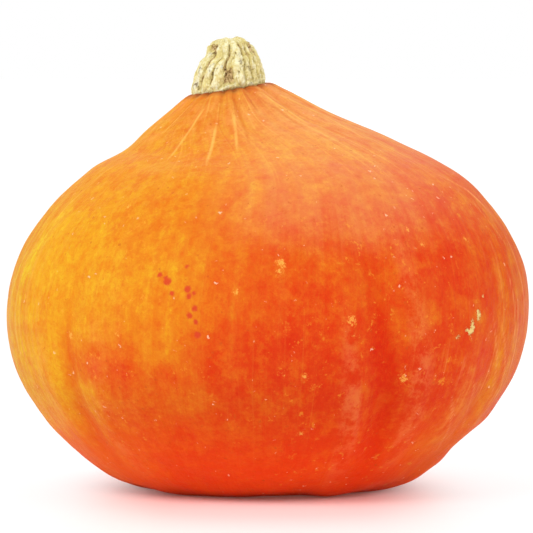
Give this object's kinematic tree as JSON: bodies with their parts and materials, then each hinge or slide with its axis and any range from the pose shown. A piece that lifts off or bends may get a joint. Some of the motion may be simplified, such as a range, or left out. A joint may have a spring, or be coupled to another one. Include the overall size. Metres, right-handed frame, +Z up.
{
  "type": "pumpkin",
  "caption": "Whole onion-shaped winter squash with a waxy red-orange skin and a short dry corky stalk, standing on a small flat spot.",
  "frame": {"origin": "middle of the fruit's box, seen from above, on the surface it stands on", "axes": "+Z up; -Y is the front, the side with the amber cheek on its left; +X to the right of that view, away from the side the stalk leans to"},
  "size_m": [0.1847, 0.1799, 0.1602],
  "materials": {
    "rind": "satin",
    "cork": "matte"
  },
  "bodies": {
    "root": {"fruit": "rind", "stalk": "cork"}
  },
  "joints": []
}
